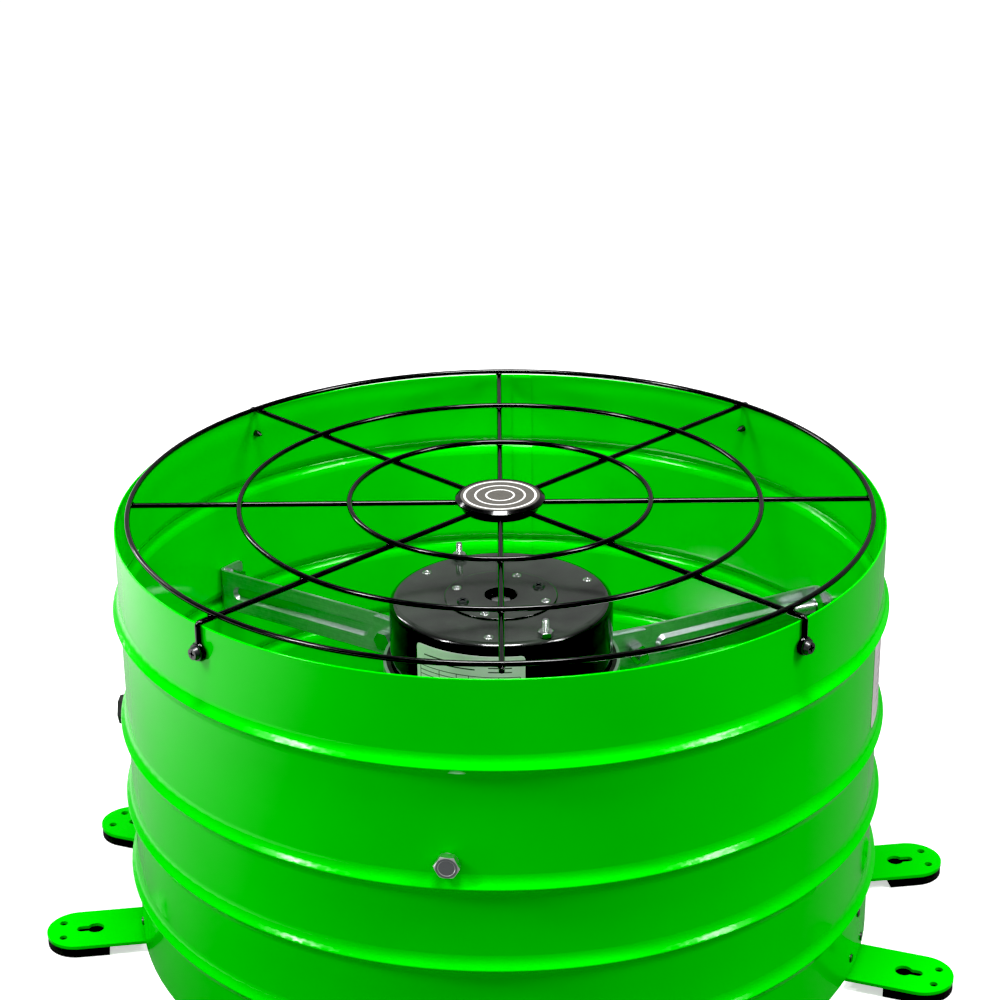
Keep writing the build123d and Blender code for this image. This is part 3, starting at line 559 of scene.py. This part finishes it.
# semi-tubular rivets: a rolled collar round a small hollow
COLLAR = [(2.85, 0.02), (2.8, 0.22), (2.5, 0.50), (2.0, 0.66), (1.5, 0.66), (1.2, 0.50), (1.05, 0.2), (0.5, 0.14)]
sh = Shell()
for k in range(4):
    a = radians(-13.6 + 90 * k)
    lathe(sh, COLLAR, upright(0.0287 * cos(a), 0.0287 * sin(a), CAP_Z + 0.001))
sh.done("rivets_on_plate", ZINC, ("motor_plate_rivets",), angle=50)
sh = Shell()
for az in (29.0, 149.0, 269.0):
    a = radians(az)
    lathe(sh, [(1.55, -3.3)] + COLLAR, upright(0.0575 * cos(a), 0.0575 * sin(a), CAP_Z))
sh.done("rivets_on_bell", ZINC, ("motor_bell_rivets",), angle=50)

# resistance welds where the rings cross the spokes
sh = Shell()
for ring_r in (0.2205, 0.1551, 0.0898):
    for k in range(8):
        a = radians(6.4 + 45 * k)
        f = Matrix.Translation((ring_r * cos(a), ring_r * sin(a), RIM + 0.00325)) @ Matrix.Rotation(a, 4, "Z")
        rows = []
        for j in range(9):
            t = -1 + 2 * j / 8
            w = sqrt(max(0.0, 1 - t * t * 0.96))
            row = []
            for i in range(20):
                q = 2 * pi * i / 20
                lump = 1 + 0.10 * sin(3 * q + k) + 0.06 * sin(5 * q - 2 * k + j)
                row.append((2.05 * w * lump * cos(q) * MM, 1.95 * w * lump * sin(q) * MM, 1.15 * t * MM))
            rows.append(row)
        sh.rings(rows, f)
sh.done("guard_welds", MATS["black_wire"], angle=60)

# ------------------------------------------------------------- studio, floor
fm = Mat("floor")
fc = fm.ramp(fm.noise(0.8, 3), [(0.3, (0.86, 0.86, 0.86)), (0.7, (0.90, 0.90, 0.90))])
fr = fm.remap(fm.noise(3, 3), 0.75, 0.85)
fm.set(Specular_IOR_Level=0.1)
fm.p.inputs["Emission Color"].default_value = (1, 1, 1, 1)
fm.p.inputs["Emission Strength"].default_value = 0.55
floor_mat = fm.out(fc, fr)
dim = fm.node("ShaderNodeBsdfDiffuse")
# the floor bounces more light on the left, as from a white card
sx = fm.node("ShaderNodeSeparateXYZ")
fm.link(fm.tc.outputs["Object"], sx.inputs[0])
card = fm.ramp(fm.remap(sx.outputs[0], 0, 1, -0.66, -0.26), [(0.0, (0.95, 0.95, 0.95)), (0.5, (0.44, 0.44, 0.44)), (1.0, (0.19, 0.19, 0.19))])
fm.link(card, dim.inputs["Color"])
lit = fm.node("ShaderNodeLightPath")
both = fm.node("ShaderNodeMixShader")
fm.link(lit.outputs["Is Camera Ray"], both.inputs[0])
fm.link(dim.outputs[0], both.inputs[1])
fm.link(fm.p.outputs[0], both.inputs[2])
# seen from below, the floor lets the underside through
below = fm.node("ShaderNodeNewGeometry")
clear = fm.node("ShaderNodeBsdfTransparent")
side = fm.node("ShaderNodeMixShader")
fm.link(below.outputs["Backfacing"], side.inputs[0])
fm.link(both.outputs[0], side.inputs[1])
fm.link(clear.outputs[0], side.inputs[2])
fm.link(side.outputs[0], fm.t.nodes["Material Output"].inputs["Surface"])
bm = bmesh.new()
bmesh.ops.create_grid(bm, x_segments=1, y_segments=1, size=6.0)
me = bpy.data.meshes.new("floor")
bm.to_mesh(me)
bm.free()
floor = bpy.data.objects.new("floor", me)
floor.location = (0, 0, -0.0005)
me.materials.append(floor_mat)
scene.collection.objects.link(floor)

world = bpy.data.worlds.new("studio")
scene.world = world
world.use_nodes = True
wn = world.node_tree
bg = wn.nodes["Background"]
bg.inputs["Color"].default_value = (1, 1, 1, 1)
bg.inputs["Strength"].default_value = 0.40
seen = wn.nodes.new("ShaderNodeBackground")
seen.inputs["Color"].default_value = (1, 1, 1, 1)
seen.inputs["Strength"].default_value = 1.1
lp = wn.nodes.new("ShaderNodeLightPath")
mx = wn.nodes.new("ShaderNodeMixShader")
wn.links.new(lp.outputs["Is Camera Ray"], mx.inputs[0])
wn.links.new(bg.outputs[0], mx.inputs[1])
wn.links.new(seen.outputs[0], mx.inputs[2])
wn.links.new(mx.outputs[0], wn.nodes["World Output"].inputs["Surface"])


def softbox(name, az, el, dist, size, power, target=(0, 0, 0.16)):
    d = bpy.data.lights.new(name, "AREA")
    d.shape = "RECTANGLE"
    d.size, d.size_y = size
    d.energy = power
    o = bpy.data.objects.new(name, d)
    a, e = radians(az) + TURN, radians(el)
    pos = Vector((sin(a) * cos(e), -cos(a) * cos(e), sin(e))) * dist + Vector(target)
    o.location = pos
    o.rotation_mode = "QUATERNION"
    o.rotation_quaternion = (pos - Vector(target)).to_track_quat("Z", "Y")
    scene.collection.objects.link(o)
    return o


softbox("box_left", -66, 43, 2.0, (0.11, 0.55), 21)
softbox("box_right", 66, 42, 2.0, (0.17, 0.80), 23)
softbox("box_rear_left", -128, 24, 1.8, (0.12, 0.8), 6)
softbox("box_top", 0, 80, 2.2, (0.8, 0.5), 55)

scene.view_settings.view_transform = "Standard"
scene.view_settings.look = "None"
scene.view_settings.exposure = 0.0
scene.view_settings.use_curve_mapping = True
scene.view_settings.curve_mapping.black_level = (0.022, 0.022, 0.022)
scene.view_settings.curve_mapping.update()
